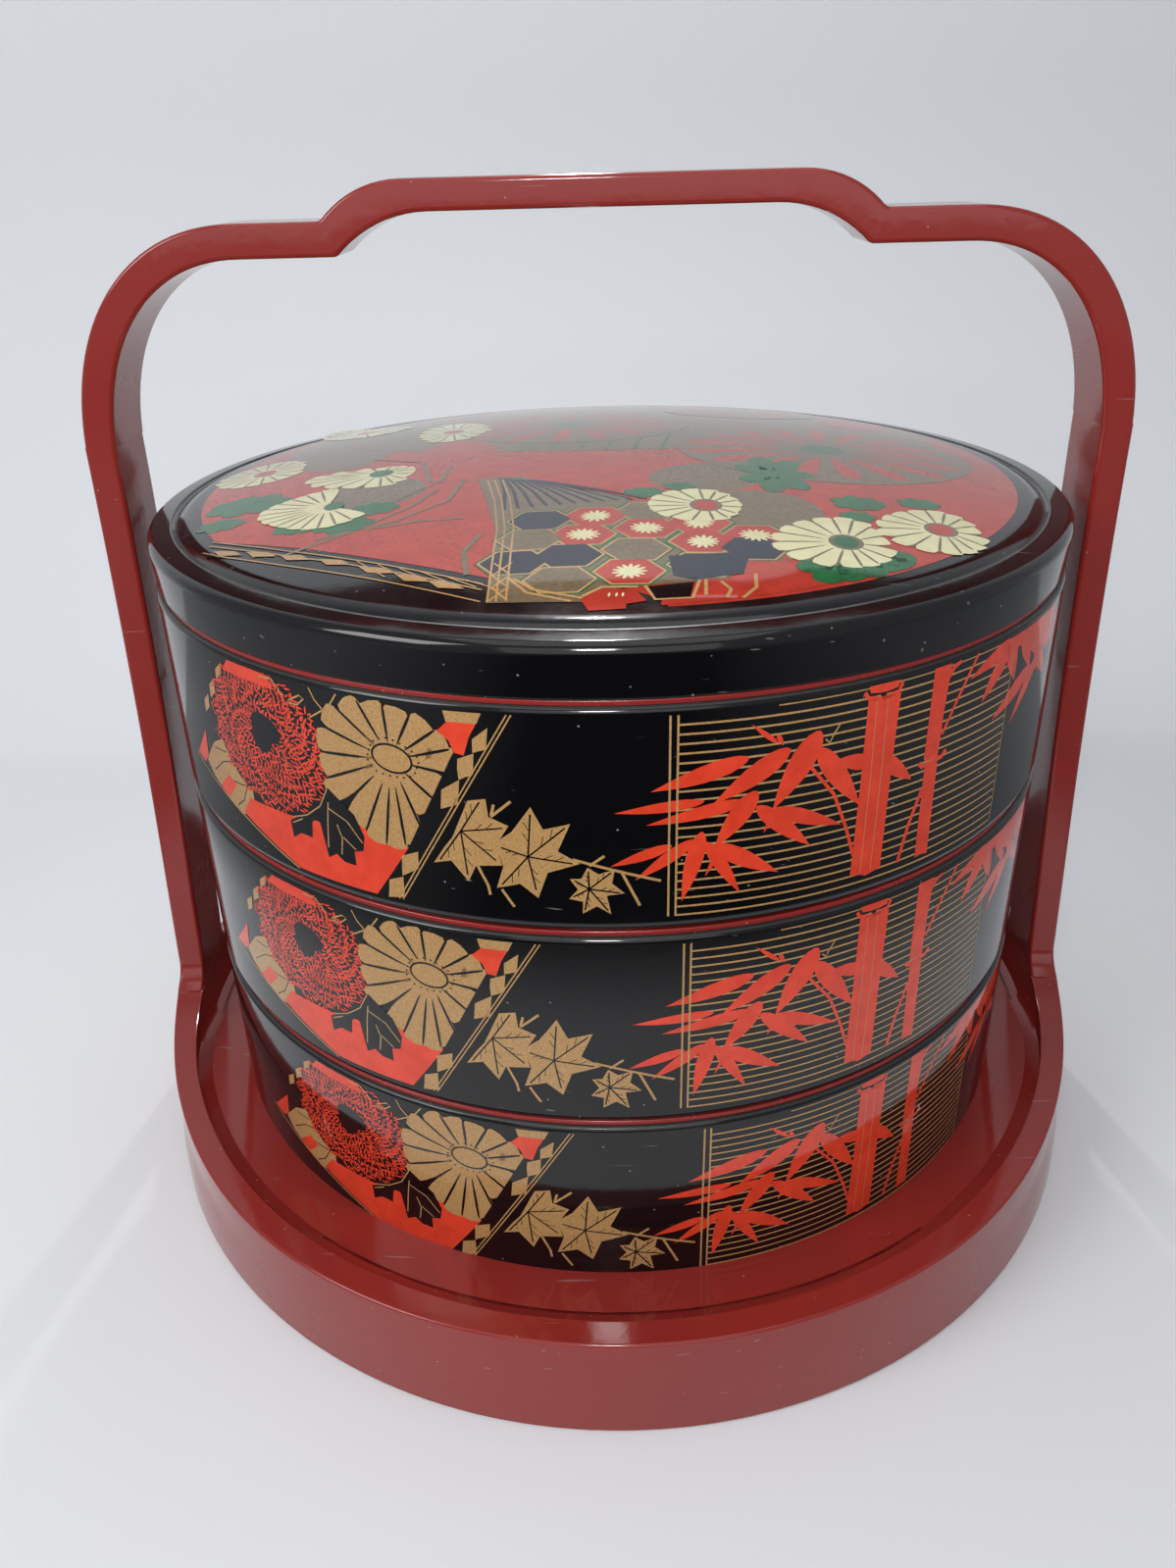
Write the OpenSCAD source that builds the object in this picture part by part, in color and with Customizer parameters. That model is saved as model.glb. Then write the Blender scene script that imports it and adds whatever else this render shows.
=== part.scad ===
// Stacking lacquer box: three round tiers and a lid on a round tray, whose two posts carry a bail handle.
// Millimetres. Z points up from the table, X runs along the handle, and the stack's axis is the Z axis.

/* [Tiers] */
// Outer diameter of a tier
tier_d = 195; // [160:1:240]
// Height that each tier adds to the stack
tier_pitch = 43; // [30:0.5:60]
// Thickness of a tier's wall
tier_wall = 5; // [4.4:0.1:7]
// Thickness of a tier's floor
tier_floor = 3; // [2:0.1:5]
// How far the mouth's lip stands in from the wall, which is also the round below it
lip_step = 1; // [0.5:0.1:1.4]
// Height of the lip at the mouth
lip_h = 1; // [0.6:0.1:2]
// Radius of the round at the foot of a wall
foot_round = 2.4; // [1:0.1:3]
// Radius of the round between floor and wall, inside
inner_round = 4; // [1:0.5:8]

/* [Locating rings] */
// Depth of the ring that drops into the mouth below it
ring_h = 3.2; // [2:0.1:5]
// Width of the ring
ring_w = 4; // [3:0.1:6]
// Gap all round between a ring and the mouth that it sits in
ring_gap = 0.4; // [0.3:0.05:0.6]

/* [Lid] */
// How far the top of the lid's skirt stands out past a tier's wall
lid_overhang = 0.2; // [0:0.1:1]
// How much narrower the skirt's radius is at its foot than at its top
skirt_draft = 0.8; // [0.2:0.1:1.2]
// Height of the skirt
skirt_h = 7.5; // [5:0.1:12]
// Radius of the round between the skirt and the rim
lid_round = 1.9; // [1:0.1:3]
// Width of the rim between that round and the crease
lid_rim_w = 3.4; // [2:0.1:6]
// Height that the rim gains on its way in to the crease
lid_rim_rise = 0.7; // [0.2:0.1:1.5]
// Depth of the crease below the rim
crease_depth = 0.5; // [0.2:0.1:1]
// Width of the rolled shoulder between the crease and the dome
shoulder_w = 4.3; // [3:0.1:7]
// Drop of that shoulder from the dome to the crease
shoulder_drop = 1.3; // [0.8:0.1:3]
// Height that the dome gains from its edge to its middle
dome_rise = 6.3; // [3:0.1:12]
// Thickness of the lid's top
lid_wall = 3; // [2:0.1:5]

/* [Tray] */
// How far the tray's rim stands out past the foot of a post
rim_margin = 1; // [0.6:0.1:8]
// Height of the tray's rim
rim_h = 25.4; // [23:0.1:40]
// Width of the flat rim
rim_w = 5.6; // [4:0.1:9]
// Radius of the round on the rim's outer edge
rim_round = 0.6; // [0.3:0.1:3]
// Height of the seat that the bottom tier stands on
seat_h = 19; // [16:0.1:21]
// Gap all round between the bottom tier and the foot of the sloped inner wall
seat_gap = 0.8; // [0.5:0.1:5]
// Thickness of the tray's floor
tray_floor = 3.2; // [2.5:0.1:5]
// Width of the foot that the tray stands on
foot_w = 8; // [4:0.1:11]

/* [Ears and posts] */
// Gap between a tier's wall and a post, at the post's top
post_clear = 6.4; // [4:0.1:12]
// Thickness of a post and of the bail's legs
post_t = 6.6; // [5:0.1:9]
// Width of the posts and of the bail, from front to back
post_w = 18; // [14:0.5:26]
// How much further out a post's foot stands than its top
post_splay = 5.2; // [2:0.1:8]
// How far a post's middle bows in from a straight line
post_bow = 1; // [0:0.1:2]
// How far an ear sweeps along the rim from the post's side
ear_reach = 39; // [20:1:50]
// Height of the whole sweep from the rim to the post's straight side
ear_h = 16.6; // [12:0.1:24]
// Height of the joint between ear and post above the rim
ear_joint_h = 5.6; // [4:0.1:9]
// Thickness of the tenons on a post's ends
tenon_t = 3.4; // [2:0.1:4.4]
// Width of the tenons
tenon_w = 10; // [6:0.5:13]
// Length of the tenons
tenon_h = 8; // [5:0.5:9]
// Gap between a tenon and its mortise
tenon_gap = 0.15; // [0.05:0.05:0.3]

/* [Bail] */
// Height of the free space between the lid's middle and the bail's shoulders
headroom = 40.5; // [30:0.5:70]
// Thickness of the bail's shoulders
shoulder_t = 6.5; // [5:0.1:9]
// Height that the grip's top stands above the shoulders' tops
grip_rise = 7.1; // [4:0.1:12]
// Thickness of the grip
grip_t = 5.9; // [5:0.1:9]
// Length along X from where the grip starts to curve to where a corner starts
shoulder_run = 33; // [26:0.5:45]
// Radius of the grip's ends, above
step_r_out = 22; // [16:0.5:28]
// Radius of the grip's ends, below
step_r_in = 26; // [20:0.5:30]
// How much nearer the middle the lower curve starts
step_shift = 5; // [2:0.5:8]
// Length of a corner along X
corner_run = 38.5; // [25:0.5:50]
// Drop of a corner along Z
corner_drop = 47.2; // [30:0.1:60]
// Squareness of the corners, where 2 is an ellipse
corner_n = 2.2; // [2:0.05:3]
// Length of a bail's leg below which its post begins, counted from the corner's foot
joint_rise = 5; // [2:0.5:12]

/* [Hidden] */
$fn = 96;

ARC = 8;          // steps in a small arc of an outline
SWEEP = 16;       // steps in a long curve of an outline
EDGE = 0.5;       // chamfer that breaks a hidden edge
OVER = 1;         // how far a cutter runs past what it cuts
SINK = 0.15;      // share of the ears' sweep that lies below the rim

tier_r = tier_d / 2;
mouth_r = tier_r - tier_wall;
ring_r = mouth_r - ring_gap;
seat_r = tier_r + seat_gap;
well_h = seat_h - ring_h - ring_gap;

// Heights of the planes where one piece stands on the next
bottom_z = seat_h;
middle_z = bottom_z + tier_pitch;
top_z = middle_z + tier_pitch;
lid_z = top_z + tier_pitch;

// The lid's outline, from the skirt to the dome
lid_r = tier_r + lid_overhang;
lid_rim_z = skirt_h + lid_round;
crease_r = lid_r - lid_round - lid_rim_w;
crease_z = lid_rim_z + lid_rim_rise - crease_depth;
dome_r = crease_r - shoulder_w;
dome_z = crease_z + shoulder_drop;
dome_sphere_r = (dome_r * dome_r + dome_rise * dome_rise) / (2 * dome_rise);
lid_h = dome_z + dome_rise;
stack_top = lid_z + lid_h;

// Where the posts stand, and the tray around them
leg_in_x = tier_r + post_clear;
leg_out_x = leg_in_x + post_t;
tray_r = leg_out_x + post_splay + rim_margin;
tray_d = 2 * tray_r;

// The bail's outline in the XZ plane
corner_x = leg_out_x - corner_run;
grip_half = corner_x - shoulder_run;
shoulder_bottom = stack_top + headroom;
shoulder_top = shoulder_bottom + shoulder_t;
grip_top = shoulder_top + grip_rise;
grip_bottom = grip_top - grip_t;
corner_z = shoulder_top - corner_drop;

// Heights of the two joints on each side
post_top_z = corner_z + joint_rise;
post_foot_z = rim_h + ear_joint_h;
post_len = post_top_z - post_foot_z;

// Points on an arc, in any plane
function arc(x, y, r, from, to, steps = ARC) =
    [for (i = [0 : steps]) let (a = from + (to - from) * i / steps) [x + r * cos(a), y + r * sin(a)]];

// A corner from its side, where the angle is 0, to its top, where it is 90
function corner_point(run, drop, a) =
    [corner_x + run * pow(cos(a), 2 / corner_n), corner_z + drop * pow(sin(a), 2 / corner_n)];

// The angle at which that corner stands at a height above its foot
function corner_angle(drop, rise) = asin(pow(rise / drop, corner_n / 2));

// How far out a post's outer face stands, t mm below the post's top
function post_out_x(t) =
    let (u = t / post_len) leg_out_x + post_splay * u - 4 * post_bow * u * (1 - u);

// Half the width of the sweep at a share t of its height
function sweep_half(t) = post_w / 2 + ear_reach * pow(1 - t, 5);

function mirrored(points) = [for (i = [len(points) - 1 : -1 : 0]) [-points[i][0], points[i][1]]];

// Turns an outline drawn in X and Z into a bar of a given width along Y
module bar_along_y(width) {
    rotate([90, 0, 0]) linear_extrude(width, center = true) children();
}

// The sweep's outline in Y and Z between two shares of its height, run along X
module sweep_along_x(from, to, length) {
    side = [for (i = [0 : SWEEP]) let (t = from + (to - from) * i / SWEEP)
        [sweep_half(t), rim_h + ear_h * t]];
    rotate([90, 0, 90]) linear_extrude(length, center = true)
        polygon(concat(side, mirrored(side)));
}

// Cross-section of a tier, whose foot stands at height 0
function tier_section() = concat(
    [[0, 0], [ring_r - ring_w, 0], [ring_r - ring_w, -ring_h],
     [ring_r - EDGE, -ring_h], [ring_r, EDGE - ring_h], [ring_r, 0]],
    arc(tier_r - foot_round, foot_round, foot_round, -90, 0),
    arc(tier_r - lip_step, tier_pitch - lip_h - lip_step, lip_step, 0, 90, ARC / 2),
    [[tier_r - lip_step, tier_pitch], [mouth_r, tier_pitch]],
    arc(mouth_r - inner_round, tier_floor + inner_round, inner_round, 0, -90),
    [[0, tier_floor]]);

module tier(z) {
    translate([0, 0, z]) rotate_extrude() polygon(tier_section());
}

module bottom_tier() { color("#141416") tier(bottom_z); }
module middle_tier() { color("#17171a") tier(middle_z); }
module top_tier() { color("#1a1a1d") tier(top_z); }

// Half outline of a dome that stands lower by a wall's thickness, from r to the middle
function dome_arc(r, wall) =
    let (sphere = dome_sphere_r - wall, a = acos(r / sphere), z = lid_h - dome_sphere_r)
    arc(0, z, sphere, a, 90, SWEEP);

// The shoulder rolls over from the dome's edge to the crease as part of a circle
function shoulder_arc() =
    let (slope = asin(dome_r / dome_sphere_r),
         chord = sqrt(shoulder_w * shoulder_w + shoulder_drop * shoulder_drop),
         turn = atan(shoulder_drop / shoulder_w) - slope,
         r = chord / (2 * sin(turn)),
         x = dome_r - r * sin(slope), z = dome_z - r * cos(slope))
    arc(x, z, r, 90 - slope - 2 * turn, 90 - slope);

function lid_section() = concat(
    [[ring_r - ring_w, -ring_h], [ring_r - EDGE, -ring_h], [ring_r, EDGE - ring_h], [ring_r, 0],
     [lid_r - skirt_draft - EDGE, 0], [lid_r - skirt_draft, EDGE]],
    arc(lid_r - lid_round, skirt_h, lid_round, 0, 90),
    [[crease_r, crease_z + crease_depth]],
    shoulder_arc(),
    dome_arc(dome_r, 0),
    mirrored([for (p = dome_arc(ring_r - ring_w, lid_wall)) [-p[0], p[1]]]));

module lid() {
    color("#101012") translate([0, 0, lid_z]) rotate_extrude() polygon(lid_section());
}

// Cross-section of the tray: foot, skirt, rim, sloped inner wall, seat and the well for the tier's ring
function tray_section() = concat(
    [[tray_r - foot_w, 0], [tray_r - EDGE, 0], [tray_r, EDGE]],
    arc(tray_r - rim_round, rim_h - rim_round, rim_round, 0, 90),
    [[tray_r - rim_w, rim_h], [seat_r, seat_h], [mouth_r, seat_h], [mouth_r, well_h],
     [0, well_h], [0, well_h - tray_floor], [tray_r - foot_w, well_h - tray_floor]]);

// Cross-section of the crown that the two ears are cut from
function crown_section() =
    let (out_x = post_out_x(post_len), in_x = out_x - post_t, foot = (seat_h + rim_h) / 2)
    concat([[in_x - ear_joint_h / 2, foot], [in_x, rim_h], [in_x, post_foot_z], [out_x, post_foot_z]],
        [for (i = [1 : ARC]) let (u = i / ARC)
            [out_x + (tray_r - out_x) * u * u, post_foot_z - (ear_joint_h + rim_round) * u]],
        [[tray_r, foot]]);

// The sweep runs on below the rim by SINK of its height, so that the ears fade out in the sloped wall
module ears() {
    intersection() {
        rotate_extrude() polygon(crown_section());
        sweep_along_x(-SINK, ear_joint_h / ear_h, tray_d + OVER);
    }
}

// A block that stands for a tenon, or for its mortise where gap isn't 0
module tenon(x, z, up, gap = 0) {
    reach = tenon_h + gap;
    translate([x, 0, z + (up ? reach - OVER : OVER - reach) / 2])
        cube([tenon_t + 2 * gap, tenon_w + 2 * gap, reach + OVER], center = true);
}

foot_tenon_x = post_out_x(post_len) - post_t / 2;
top_tenon_x = leg_out_x - post_t / 2;

module carrier_tray() {
    color("#96282a") difference() {
        union() {
            rotate_extrude() polygon(tray_section());
            ears();
        }
        for (side = [-1, 1]) tenon(side * foot_tenon_x, post_foot_z, false, tenon_gap);
    }
}

module post(side) {
    drops = [for (i = [0 : SWEEP]) post_len * i / SWEEP];
    outer = [for (t = drops) [side * post_out_x(t), post_top_z - t]];
    inner = [for (i = [SWEEP : -1 : 0]) let (t = drops[i]) [side * (post_out_x(t) - post_t), post_top_z - t]];
    intersection() {
        bar_along_y(2 * sweep_half(0)) polygon(concat(outer, inner));
        union() {
            sweep_along_x(ear_joint_h / ear_h, 1, tray_d + OVER);
            translate([-tray_r, -post_w / 2, rim_h + ear_h]) cube([tray_d, post_w, post_len]);
        }
    }
    tenon(side * foot_tenon_x, post_foot_z, false);
    tenon(side * top_tenon_x, post_top_z, true);
}

module left_post() { color("#8c2629") post(-1); }
module right_post() { color("#8c2629") post(1); }

// Right half of the bail's upper edge, from the middle of the grip to the end of the leg
function bail_outer() =
    let (leg = corner_angle(corner_drop, joint_rise), r = step_r_out, drop = grip_rise)
    concat(arc(grip_half, grip_top - r, r, 90, asin((r - drop) / r)),
        [for (i = [0 : SWEEP]) corner_point(corner_run, corner_drop, 90 + (leg - 90) * i / SWEEP)]);

// Right half of its lower edge, from the end of the leg to the middle of the grip
function bail_inner() =
    let (run = corner_run - post_t, fall = corner_drop - shoulder_t,
         leg = corner_angle(fall, joint_rise), r = step_r_in, drop = grip_bottom - shoulder_bottom)
    concat([for (i = [0 : SWEEP]) corner_point(run, fall, leg + (90 - leg) * i / SWEEP)],
        arc(grip_half - step_shift, grip_bottom - r, r, asin((r - drop) / r), 90));

module handle_bail() {
    half = concat(bail_outer(), bail_inner());
    color("#a02c30") difference() {
        bar_along_y(post_w) polygon(concat(bail_outer(), bail_inner(), mirrored(half)));
        for (side = [-1, 1]) tenon(side * top_tenon_x, post_top_z, true, tenon_gap);
    }
}

carrier_tray();
left_post();
right_post();
handle_bail();
bottom_tier();
middle_tier();
top_tier();
lid();
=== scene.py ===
# %% [markdown]
# A stacking lacquer box: three round tiers and a lid stand in a round tray, and a bail handle joins the
# tray's two posts. The real one is moulded plastic, sprayed with urethane lacquer that flows to a gloss, and
# printed in vermilion and gold. The CAD part gives every size and every joint. This lesson dresses it, piece
# by piece.

import math

import bmesh
import bpy
from mathutils import Matrix, Vector


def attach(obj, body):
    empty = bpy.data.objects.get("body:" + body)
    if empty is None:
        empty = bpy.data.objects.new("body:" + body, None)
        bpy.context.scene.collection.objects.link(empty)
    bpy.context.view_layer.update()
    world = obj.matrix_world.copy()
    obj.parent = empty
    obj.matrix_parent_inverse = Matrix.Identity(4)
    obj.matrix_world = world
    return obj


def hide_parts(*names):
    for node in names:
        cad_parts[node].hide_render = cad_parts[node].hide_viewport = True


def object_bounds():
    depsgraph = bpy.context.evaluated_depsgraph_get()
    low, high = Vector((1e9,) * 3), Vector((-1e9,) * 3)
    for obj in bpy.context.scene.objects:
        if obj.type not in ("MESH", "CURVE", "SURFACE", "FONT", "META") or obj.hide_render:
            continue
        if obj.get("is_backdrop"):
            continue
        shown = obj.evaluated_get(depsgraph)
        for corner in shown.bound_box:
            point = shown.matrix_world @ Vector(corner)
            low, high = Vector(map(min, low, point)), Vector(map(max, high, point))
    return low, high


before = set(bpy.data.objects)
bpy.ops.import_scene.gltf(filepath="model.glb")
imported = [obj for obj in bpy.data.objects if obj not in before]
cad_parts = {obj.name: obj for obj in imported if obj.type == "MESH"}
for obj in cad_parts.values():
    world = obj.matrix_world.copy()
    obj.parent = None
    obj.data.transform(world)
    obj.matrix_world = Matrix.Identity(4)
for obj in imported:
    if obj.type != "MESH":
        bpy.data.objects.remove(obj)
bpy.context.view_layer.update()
MM = 0.001

# %% [markdown]
# The camera comes first. The photograph was taken by
# hand with a wide lens about 26 cm from the box, so the tray looks narrower than the lid. A camera is fully
# described by its eye, three angles and its lens, so these seven numbers are all that it takes.

# %% Camera
EYE = Vector((-1.4, -263.6, 221.4)) * MM
YAW, PITCH, ROLL = (math.radians(a) for a in (0.97, 27.73, -1.54))
LENS = 27.21


def aim(yaw, pitch, roll):
    """Turns a camera that starts by looking along +Y with its top up."""
    level = Matrix.Rotation(math.radians(90), 4, "X")
    return (Matrix.Rotation(yaw, 4, "Z") @ Matrix.Rotation(-pitch, 4, "X") @ level
            @ Matrix.Rotation(roll, 4, "Z"))


camera_data = bpy.data.cameras.new("camera")
camera_data.sensor_width = 36
camera_data.lens = LENS
camera_data.clip_start = 0.01
camera = bpy.data.objects.new("camera", camera_data)
bpy.context.scene.collection.objects.link(camera)
camera.matrix_world = Matrix.Translation(EYE) @ aim(YAW, PITCH, ROLL)
bpy.context.scene.camera = camera
print("camera looks along", [round(v, 3) for v in camera.matrix_world.to_3x3() @ Vector((0, 0, -1))])

# %% [markdown]
# Materials need two helpers. A colour is written as the hex value that a screen shows, and one function
# turns it into the linear numbers that the shader wants. The other function adds a node, sets it and links
# it in one line.

# %% Colours and nodes


def colour(hex_code):
    """Linear RGBA of an sRGB hex colour."""
    parts = [int(hex_code[i:i + 2], 16) / 255 for i in (1, 3, 5)]
    return [p / 12.92 if p <= 0.04045 else ((p + 0.055) / 1.055) ** 2.4 for p in parts] + [1]


def add(tree, kind, settings=None, **links):
    """Adds a node. A setting names a property or an input, and a link names an input."""
    node = tree.nodes.new("ShaderNode" + kind)
    for key, value in (settings or {}).items():
        if isinstance(key, str) and hasattr(node, key):
            setattr(node, key, value)
        else:
            node.inputs[key].default_value = value
    for key, socket in links.items():
        tree.links.new(socket, node.inputs[int(key[1:]) if key[0] == "_" else key.replace("_", " ")])
    return node


def new_material(name):
    """An empty material and its tree, ready for add()."""
    material = bpy.data.materials.new(name)
    material.use_nodes = True
    material.node_tree.nodes.clear()
    return material, material.node_tree


print("mid grey #808080 is", round(colour("#808080")[0], 3), "in linear numbers")

# %% [markdown]
# The studio is a pale sheet that lies under the box and sweeps up behind it. Lacquer is a mirror for what
# stands around it, so the sheet matters twice: it is the background, and it is what the lid and the walls
# reflect.

# %% Studio sheet
SHEET_WIDE, SHEET_SWEEP = 3000, 250


def new_object(name, bm, *materials):
    """Makes an object of a bmesh."""
    mesh = bpy.data.meshes.new(name)
    bm.to_mesh(mesh)
    bm.free()
    for material in materials:
        mesh.materials.append(material)
    piece = bpy.data.objects.new(name, mesh)
    bpy.context.scene.collection.objects.link(piece)
    return piece


paper, tree = new_material("matt paper sheet")
surface = add(tree, "BsdfPrincipled", {"Base Color": colour("#DCDEE1"), "Roughness": 0.7})
add(tree, "OutputMaterial", Surface=surface.outputs[0])

bm = bmesh.new()
edge = [bm.verts.new(Vector((-SHEET_WIDE / 2, y, z)) * MM) for y, z in ((-900, 0), (420, 0), (420, 1500))]
for a, b in zip(edge, edge[1:]):
    bm.edges.new((a, b))
bmesh.ops.bevel(bm, geom=[edge[1]], offset=SHEET_SWEEP * MM, offset_type="OFFSET", segments=24, profile=0.5,
                affect="VERTICES", material=-1)
swept = bmesh.ops.extrude_edge_only(bm, edges=bm.edges[:])
far_edge = [v for v in swept["geom"] if isinstance(v, bmesh.types.BMVert)]
bmesh.ops.translate(bm, vec=(SHEET_WIDE * MM, 0, 0), verts=far_edge)
bmesh.ops.recalc_face_normals(bm, faces=bm.faces)
sheet = new_object("studio_sheet", bm, paper)
sheet.data.shade_smooth()
sheet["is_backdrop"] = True
print("studio sheet:", len(sheet.data.polygons), "faces")

# %% [markdown]
# Black lacquer is only as black as what it mirrors. The real box mirrors pale ground as far as about 20 cm
# from its axis, and past that all is dark. A photographer gets this with a black card on the ground. This
# one fades in with the distance and gets paler towards the sides, and only mirrors see it: it takes no light
# from the sheet and the camera doesn't see it.

# %% Dark card
FADE_FROM, FADE_TO = 200, 250
PALE_FROM, PALE_TO, PALE_SHARE = 110, 330, 0.45
card_paper, tree = new_material("matt black card")
place = add(tree, "TexCoord").outputs["Object"]
away = add(tree, "VectorMath", {"operation": "LENGTH"}, _0=place)
fade = add(tree, "MapRange", {"From Min": FADE_FROM * MM, "From Max": FADE_TO * MM},
           Value=away.outputs["Value"])
black = add(tree, "BsdfDiffuse", {"Color": colour("#1C1C1E")})
gone = add(tree, "BsdfTransparent")
axes = add(tree, "SeparateXYZ", Vector=place)
aside = add(tree, "Math", {"operation": "ABSOLUTE"}, _0=axes.outputs["X"])
pale = add(tree, "MapRange", {"From Min": PALE_FROM * MM, "From Max": PALE_TO * MM, "To Min": 1,
                              "To Max": PALE_SHARE}, Value=aside.outputs[0])
weight = add(tree, "Math", {"operation": "MULTIPLY"}, _0=fade.outputs[0], _1=pale.outputs[0])
surface = add(tree, "MixShader", Fac=weight.outputs[0], _1=gone.outputs[0], _2=black.outputs[0])
add(tree, "OutputMaterial", Surface=surface.outputs[0])

bm = bmesh.new()
bmesh.ops.create_grid(bm, x_segments=2, y_segments=2, size=900 * MM)
bmesh.ops.translate(bm, vec=(0, -500 * MM, 1 * MM), verts=bm.verts)
card = new_object("dark_card", bm, card_paper)
card.visible_camera = card.visible_diffuse = card.visible_shadow = False
card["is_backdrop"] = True
print("dark card fades in from", FADE_FROM, "to", FADE_TO, "mm from the axis")

# %% [markdown]
# Gloss needs small lamps for its glints and large ones for its pale areas. The lamp by the lens gives the
# short glints on the grip and the lid's edge. The small one high up behind the box shows in gloss only, as
# the glare on the front of the tray's rim. The three large ones fill the shade, and the lacquer mirrors them
# as soft areas.

# %% Lamps


def lamp(name, place, target, size, watts):
    """A square area lamp that looks at a point."""
    data = bpy.data.lights.new(name, "AREA")
    data.size = size * MM
    data.energy = watts
    piece = bpy.data.objects.new(name, data)
    bpy.context.scene.collection.objects.link(piece)
    place, target = Vector(place) * MM, Vector(target) * MM
    turned = (target - place).to_track_quat("-Z", "Y").to_matrix().to_4x4()
    piece.matrix_world = Matrix.Translation(place) @ turned
    return piece


lamp("lamp_by_the_lens", (-15, -300, 300), (0, 0, 100), 40, 0.35)
lamp("soft_lamp_above", (0, -100, 1000), (0, 0, 80), 700, 1.5)
lamp("soft_lamp_left", (-700, -500, 700), (0, 0, 80), 450, 4)
lamp("pale_wall_behind_the_camera", (0, -1400, 760), (0, 0, 300), 1300, 4.4)
ceiling_light = lamp("small_ceiling_light", (-10.4, 380, 672), (0, -114, 25), 12, 9)
ceiling_light.visible_diffuse = False

world = bpy.data.worlds.new("pale room")
world.use_nodes = True
world.node_tree.nodes["Background"].inputs["Color"].default_value = colour("#E6E8EC")
world.node_tree.nodes["Background"].inputs["Strength"].default_value = 0.45
bpy.context.scene.world = world
bpy.context.scene.view_settings.view_transform = "Standard"
print("lamps in watts:", {light.name: round(light.energy, 2) for light in bpy.data.lights})

# %% [markdown]
# Sprayed urethane lacquer on ABS: the colour is flat and even, the coat on top is glossy with an index of
# about 1.5, and it has a faint waviness, called orange peel, about 2 mm across. The eye sees that only where
# a glint breaks up. The same recipe makes the red of the tray and the black of the tiers, so one function
# mixes both. Specks of dust and a few hairlines, drawn coarse enough to show, tell that the box has been
# used.

# %% Lacquers


def lacquer(name, base, deep, gloss, peel):
    """Sprayed urethane lacquer, whose tone drifts a little and whose waviness bends the glints."""
    material, tree = new_material(name)
    place = add(tree, "TexCoord").outputs["Object"]
    cloud = add(tree, "TexNoise", {"Scale": 1 / (60 * MM), "Detail": 2}, Vector=place)
    tone = add(tree, "Mix", {"data_type": "RGBA", 6: colour(base), 7: colour(deep)}, _0=cloud.outputs["Fac"])
    waves = add(tree, "TexNoise", {"Scale": 1 / (2.2 * MM), "Detail": 1}, Vector=place)
    bump = add(tree, "Bump", {"Strength": 0.35, "Distance": peel * MM}, Height=waves.outputs["Fac"])
    wipes = add(tree, "TexNoise", {"Scale": 1 / (9 * MM), "Detail": 6, "Roughness": 0.7}, Vector=place)
    rough = add(tree, "MapRange", {"From Min": 0.3, "From Max": 0.8, "To Min": gloss, "To Max": gloss * 2.2},
                Value=wipes.outputs["Fac"])
    specks = add(tree, "TexVoronoi", {"Scale": 1 / (4.5 * MM)}, Vector=place)
    dust = add(tree, "MapRange", {"From Min": 0.05, "From Max": 0.03, "To Max": 0.5},
               Value=specks.outputs["Distance"])
    long = add(tree, "Mapping", {"Scale": (0.02, 0.5, 0.5), "Rotation": (0.2, 0.5, 0.7)}, Vector=place)
    hairs = add(tree, "TexNoise", {"Scale": 1 / (0.5 * MM), "Detail": 1}, Vector=long.outputs[0])
    scratch = add(tree, "MapRange", {"From Min": 0.76, "From Max": 0.79, "To Max": 0.22},
                  Value=hairs.outputs["Fac"])
    worn = add(tree, "Math", {"operation": "MAXIMUM"}, _0=dust.outputs[0], _1=scratch.outputs[0])
    used = add(tree, "Mix", {"data_type": "RGBA", 7: colour("#A9A5A0")}, _0=worn.outputs[0],
               _6=tone.outputs[2])
    surface = add(tree, "BsdfPrincipled", {"IOR": 1.5}, Base_Color=used.outputs[2],
                  Roughness=rough.outputs[0], Normal=bump.outputs[0])
    add(tree, "OutputMaterial", Surface=surface.outputs[0])
    return material


red_lacquer = lacquer("red urethane lacquer", "#8A2A25", "#80241F", 0.065, 0.05)
black_lacquer = lacquer("black urethane lacquer", "#0B0B0D", "#060607", 0.06, 0.03)
inner_lacquer = lacquer("red inner lacquer", "#8E2420", "#7C1D1A", 0.16, 0.04)
# Grey lacquer for the tiers' shoulders and the lid's crease: partly dust, and partly a painted highlight.
dust_and_highlight_lacquer = lacquer("black lacquer with dust and painted highlight", "#3C3A39", "#161617", 0.26, 0.12)
print("lacquers:", [m.name for m in (red_lacquer, black_lacquer, inner_lacquer, dust_and_highlight_lacquer)])

# %% [markdown]
# Tiers and lid are turned shapes, so each is one wire turned round the axis. The wire's corners are rounded
# first, with a bevel on its vertices, because a moulded edge is never sharp and its round is what catches
# the light.

# %% Turning a wire
TURN_STEPS = 240


def wire(bm, corners):
    """Joins (radius, height, round) corners in millimetres, in the XZ plane, and rounds them."""
    verts = [bm.verts.new(Vector((r, 0, z)) * MM) for r, z, _ in corners]
    for a, b in zip(verts, verts[1:]):
        bm.edges.new((a, b))
    for vert, (_, _, back) in zip(verts, corners):
        if back:
            bmesh.ops.bevel(bm, geom=[vert], offset=back * MM, offset_type="OFFSET", segments=6, profile=0.5,
                            affect="VERTICES", material=-1)


def turn(bm):
    """Turns everything in a bmesh once round the Z axis."""
    bmesh.ops.spin(bm, geom=bm.verts[:] + bm.edges[:], cent=(0, 0, 0), axis=(0, 0, 1), dvec=(0, 0, 0),
                   angle=math.tau, steps=TURN_STEPS, use_merge=True)
    close(bm)


def close(bm):
    """Merges poles and seams, and points every face outwards."""
    bmesh.ops.remove_doubles(bm, verts=bm.verts, dist=0.001 * MM)
    bmesh.ops.recalc_face_normals(bm, faces=bm.faces)


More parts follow.
